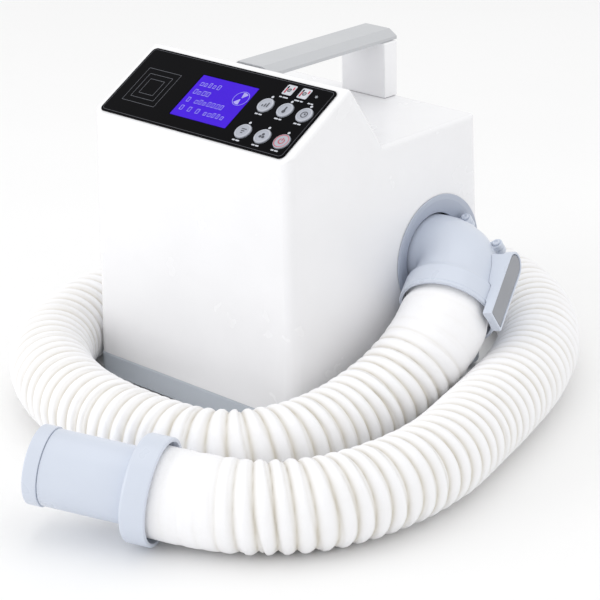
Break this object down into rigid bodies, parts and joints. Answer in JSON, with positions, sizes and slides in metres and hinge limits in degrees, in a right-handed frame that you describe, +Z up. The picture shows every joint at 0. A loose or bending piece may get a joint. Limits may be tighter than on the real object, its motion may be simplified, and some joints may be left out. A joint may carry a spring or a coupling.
{
  "type": "pet dryer",
  "caption": "Table-top warm-air dryer for animals: sloped control panel, carrying handle, swivelling outlet elbow with latch, corrugated hose and nozzle.",
  "frame": {"origin": "middle of the housing footprint on the surface it stands on", "axes": "+Z up, -Y the front wall below the control panel, +X the wall with the air outlet"},
  "size_m": [0.4839, 0.5913, 0.272],
  "materials": {
    "white_shell": "glossy moulded ABS, white",
    "tray_grey": "satin moulded ABS, bluish grey",
    "grip_grey": "satin moulded ABS, light grey",
    "ring_grey": "satin moulded ABS, mid grey",
    "elbow_grey": "smooth moulded ABS, light blue-grey",
    "panel_black": "glossy black printed polyester overlay",
    "display_blue": "backlit violet-blue display window",
    "key_grey": "satin silver-grey printed keys",
    "hose_white": "white coated fabric over a wire helix",
    "cuff_white": "white soft moulded cuff",
    "steel": "plain zinc-plated steel",
    "rubber_black": "matte black rubber",
    "board_green": "solder-masked circuit board",
    "dark_plastic": "dark moulded nylon",
    "foam_grey": "open-cell filter foam",
    "ceramic": "ceramic and resistance ribbon",
    "clear_pipe": "clear light pipe moulding",
    "impeller_white": "natural moulded nylon"
  },
  "bodies": {
    "housing": {"air_sensor": "steel", "base_screw_1": "steel", "base_screw_2": "steel", "base_screw_3": "steel", "base_screw_4": "steel", "base_tray": "tray_grey", "control_board": "board_green", "display_module": "dark_plastic", "display_window": "display_blue", "filter_grille": "tray_grey", "filter_pad": "foam_grey", "foot_1": "rubber_black", "foot_2": "rubber_black", "foot_3": "rubber_black", "foot_4": "rubber_black", "handle_grip": "grip_grey", "handle_post": "white_shell", "handle_screw_front": "steel", "handle_screw_rear": "steel", "heater_duct": "steel", "heater_element": "ceramic", "hose": "hose_white", "hose_cuff_nozzle": "cuff_white", "light_pipe": "clear_pipe", "motor": "steel", "motor_bracket": "steel", "nozzle_collar": "elbow_grey", "nozzle_screw": "steel", "nozzle_tip_ring": "elbow_grey", "nozzle_tube": "elbow_grey", "outlet_ring": "ring_grey", "panel_overlay": "panel_black", "power_board": "board_green", "power_inlet": "dark_plastic", "swivel_retainer": "dark_plastic", "thermal_cutout": "steel", "upper_shell": "white_shell", "volute_front": "dark_plastic", "volute_rear": "dark_plastic"},
    "key_1": {"key_1": "key_grey"},
    "key_2": {"key_2": "key_grey"},
    "key_3": {"key_3": "key_grey"},
    "key_4": {"key_4": "key_grey"},
    "key_5": {"key_5": "key_grey"},
    "key_6": {"key_6": "key_grey"},
    "fan": {"impeller": "impeller_white", "motor_shaft": "steel"},
    "elbow": {"elbow_upper_half": "elbow_grey", "elbow_lower_half": "elbow_grey", "elbow_screw_1": "elbow_grey", "elbow_screw_2": "elbow_grey", "latch_frame": "elbow_grey", "latch_pin": "steel", "latch_spring": "steel", "hose_cuff_elbow": "cuff_white"},
    "latch": {"latch_lever": "ring_grey"}
  },
  "joints": [
    {"name": "key_1_press", "type": "slide", "parent": "housing", "child": "key_1", "axis": [0, 0.5048, -0.8633], "range_m": [0, 0.0004], "stiffness_N_per_m": 3000},
    {"name": "key_2_press", "type": "slide", "parent": "housing", "child": "key_2", "axis": [0, 0.5048, -0.8633], "range_m": [0, 0.0004], "stiffness_N_per_m": 3000},
    {"name": "key_3_press", "type": "slide", "parent": "housing", "child": "key_3", "axis": [0, 0.5048, -0.8633], "range_m": [0, 0.0004], "stiffness_N_per_m": 3000},
    {"name": "key_4_press", "type": "slide", "parent": "housing", "child": "key_4", "axis": [0, 0.5048, -0.8633], "range_m": [0, 0.0004], "stiffness_N_per_m": 3000},
    {"name": "key_5_press", "type": "slide", "parent": "housing", "child": "key_5", "axis": [0, 0.5048, -0.8633], "range_m": [0, 0.0004], "stiffness_N_per_m": 3000},
    {"name": "key_6_press", "type": "slide", "parent": "housing", "child": "key_6", "axis": [0, 0.5048, -0.8633], "range_m": [0, 0.0004], "stiffness_N_per_m": 3000},
    {"name": "fan_spin", "type": "hinge", "parent": "housing", "child": "fan", "pos_m": [-0.018, 0.0575, 0.076], "axis": [0, 1, 0], "continuous": true},
    {"name": "elbow_swivel", "type": "hinge", "parent": "housing", "child": "elbow", "pos_m": [0.1102, 0.0575, 0.1134], "axis": [0.9998, 0, 0.0204], "range_deg": [-12, 12], "deforming": ["hose"]},
    {"name": "latch_press", "type": "hinge", "parent": "elbow", "child": "latch", "pos_m": [0.18434, 0.04593, 0.10745], "axis": [-0.0172, -0.5417, 0.8404], "range_deg": [0, 4], "stiffness_Nm_per_rad": 1.8}
  ]
}
